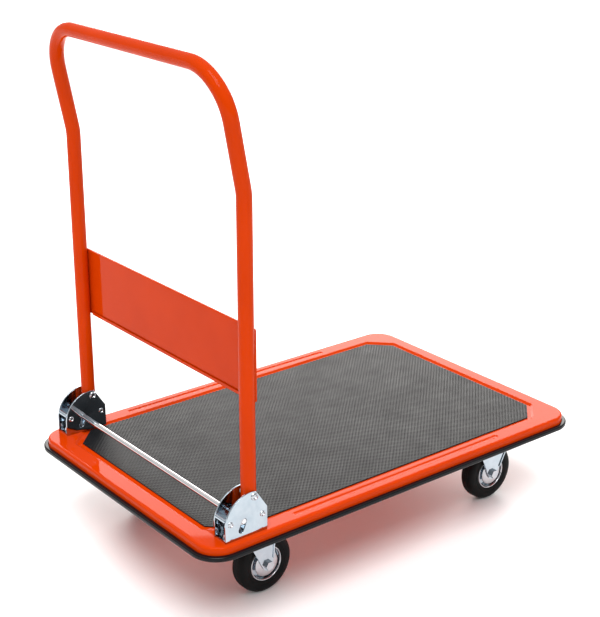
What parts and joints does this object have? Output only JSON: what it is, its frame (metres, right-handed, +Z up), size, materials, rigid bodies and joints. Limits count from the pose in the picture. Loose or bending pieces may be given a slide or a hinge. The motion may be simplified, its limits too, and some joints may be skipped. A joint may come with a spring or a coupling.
{
  "type": "folding platform cart",
  "caption": "Folding platform cart: pressed steel deck with a ribbed mat, bumper, casters and a fold-down bent tube handle with a foot-operated release bar.",
  "frame": {"origin": "on the floor under the middle of the bumper's outline", "axes": "+X along the platform towards the end without the handle, +Y to the left side, +Z up"},
  "size_m": [0.742, 0.492, 0.8135],
  "materials": {
    "orange_paint": "glossy powder coat",
    "mat_pvc": "fine ribbed emboss, soft sheen",
    "bumper_rubber": "smooth satin",
    "tyre_rubber": "matt",
    "zinc_sheet": "bright zinc plate, slightly mottled",
    "bright_zinc": "polished zinc plate",
    "bright_chrome": "polished",
    "fastener_steel": "zinc plated",
    "nylon": "natural nylon"
  },
  "bodies": {
    "chassis": {"deck_shell": "orange_paint", "deck_mat": "mat_pvc", "bumper_strip": "bumper_rubber", "cross_channel_rear": "orange_paint", "cross_channel_front": "orange_paint", "bracket_left": "zinc_sheet", "bracket_right": "zinc_sheet", "bracket_bolts": "fastener_steel", "bracket_nuts": "fastener_steel", "pivot_rivets": "fastener_steel", "stop_rivets": "fastener_steel", "anchor_rivets": "fastener_steel", "release_spring_left": "fastener_steel", "release_spring_right": "fastener_steel", "swivel_plate_left": "zinc_sheet", "swivel_plate_right": "zinc_sheet", "kingpin_left": "fastener_steel", "kingpin_right": "fastener_steel", "rigid_fork_left": "zinc_sheet", "rigid_fork_right": "zinc_sheet", "rigid_axle_bolts": "fastener_steel", "rigid_axle_nuts": "fastener_steel", "caster_bolts": "fastener_steel", "caster_nuts": "fastener_steel"},
    "handle": {"handle_tube": "orange_paint", "handle_panel": "orange_paint", "pivot_bushes": "nylon"},
    "release_bar": {"release_bar": "bright_chrome", "bar_clips": "fastener_steel"},
    "swivel_left": {"swivel_fork_left": "zinc_sheet", "swivel_balls_left": "fastener_steel", "axle_bolt_rear_left": "fastener_steel", "axle_nut_rear_left": "fastener_steel"},
    "swivel_right": {"swivel_fork_right": "zinc_sheet", "swivel_balls_right": "fastener_steel", "axle_bolt_rear_right": "fastener_steel", "axle_nut_rear_right": "fastener_steel"},
    "wheel_rear_left": {"tyre_rear_left": "tyre_rubber", "wheel_core_rear_left": "zinc_sheet", "rim_rings_rear_left": "bright_zinc", "hub_discs_rear_left": "bright_zinc", "hub_bush_rear_left": "nylon"},
    "wheel_rear_right": {"tyre_rear_right": "tyre_rubber", "wheel_core_rear_right": "zinc_sheet", "rim_rings_rear_right": "bright_zinc", "hub_discs_rear_right": "bright_zinc", "hub_bush_rear_right": "nylon"},
    "wheel_front_left": {"tyre_front_left": "tyre_rubber", "wheel_core_front_left": "zinc_sheet", "rim_rings_front_left": "bright_zinc", "hub_discs_front_left": "bright_zinc", "hub_bush_front_left": "nylon"},
    "wheel_front_right": {"tyre_front_right": "tyre_rubber", "wheel_core_front_right": "zinc_sheet", "rim_rings_front_right": "bright_zinc", "hub_discs_front_right": "bright_zinc", "hub_bush_front_right": "nylon"}
  },
  "joints": [
    {"name": "handle_fold", "type": "hinge", "parent": "chassis", "child": "handle", "pos_m": [-0.2834, 0, 0.208], "axis": [0, 1, 0], "range_deg": [0, 95]},
    {"name": "release_bar_press", "type": "slide", "parent": "chassis", "child": "release_bar", "axis": [-0.4, 0, -0.9165], "range_m": [0, 0.0134], "stiffness_N_per_m": 800, "springref_m": -0.012, "deforming": ["release_spring_left", "release_spring_right"]},
    {"name": "swivel_left_turn", "type": "hinge", "parent": "chassis", "child": "swivel_left", "pos_m": [-0.253, 0.156, 0.11], "axis": [0, 0, 1], "continuous": true},
    {"name": "swivel_right_turn", "type": "hinge", "parent": "chassis", "child": "swivel_right", "pos_m": [-0.253, -0.156, 0.11], "axis": [0, 0, 1], "continuous": true},
    {"name": "wheel_rear_left_spin", "type": "hinge", "parent": "swivel_left", "child": "wheel_rear_left", "pos_m": [-0.217, 0.156, 0.048], "axis": [0, 1, 0], "continuous": true},
    {"name": "wheel_front_left_spin", "type": "hinge", "parent": "chassis", "child": "wheel_front_left", "pos_m": [0.253, 0.156, 0.048], "axis": [0, 1, 0], "continuous": true},
    {"name": "wheel_rear_right_spin", "type": "hinge", "parent": "swivel_right", "child": "wheel_rear_right", "pos_m": [-0.217, -0.156, 0.048], "axis": [0, 1, 0], "continuous": true},
    {"name": "wheel_front_right_spin", "type": "hinge", "parent": "chassis", "child": "wheel_front_right", "pos_m": [0.253, -0.156, 0.048], "axis": [0, 1, 0], "continuous": true}
  ]
}
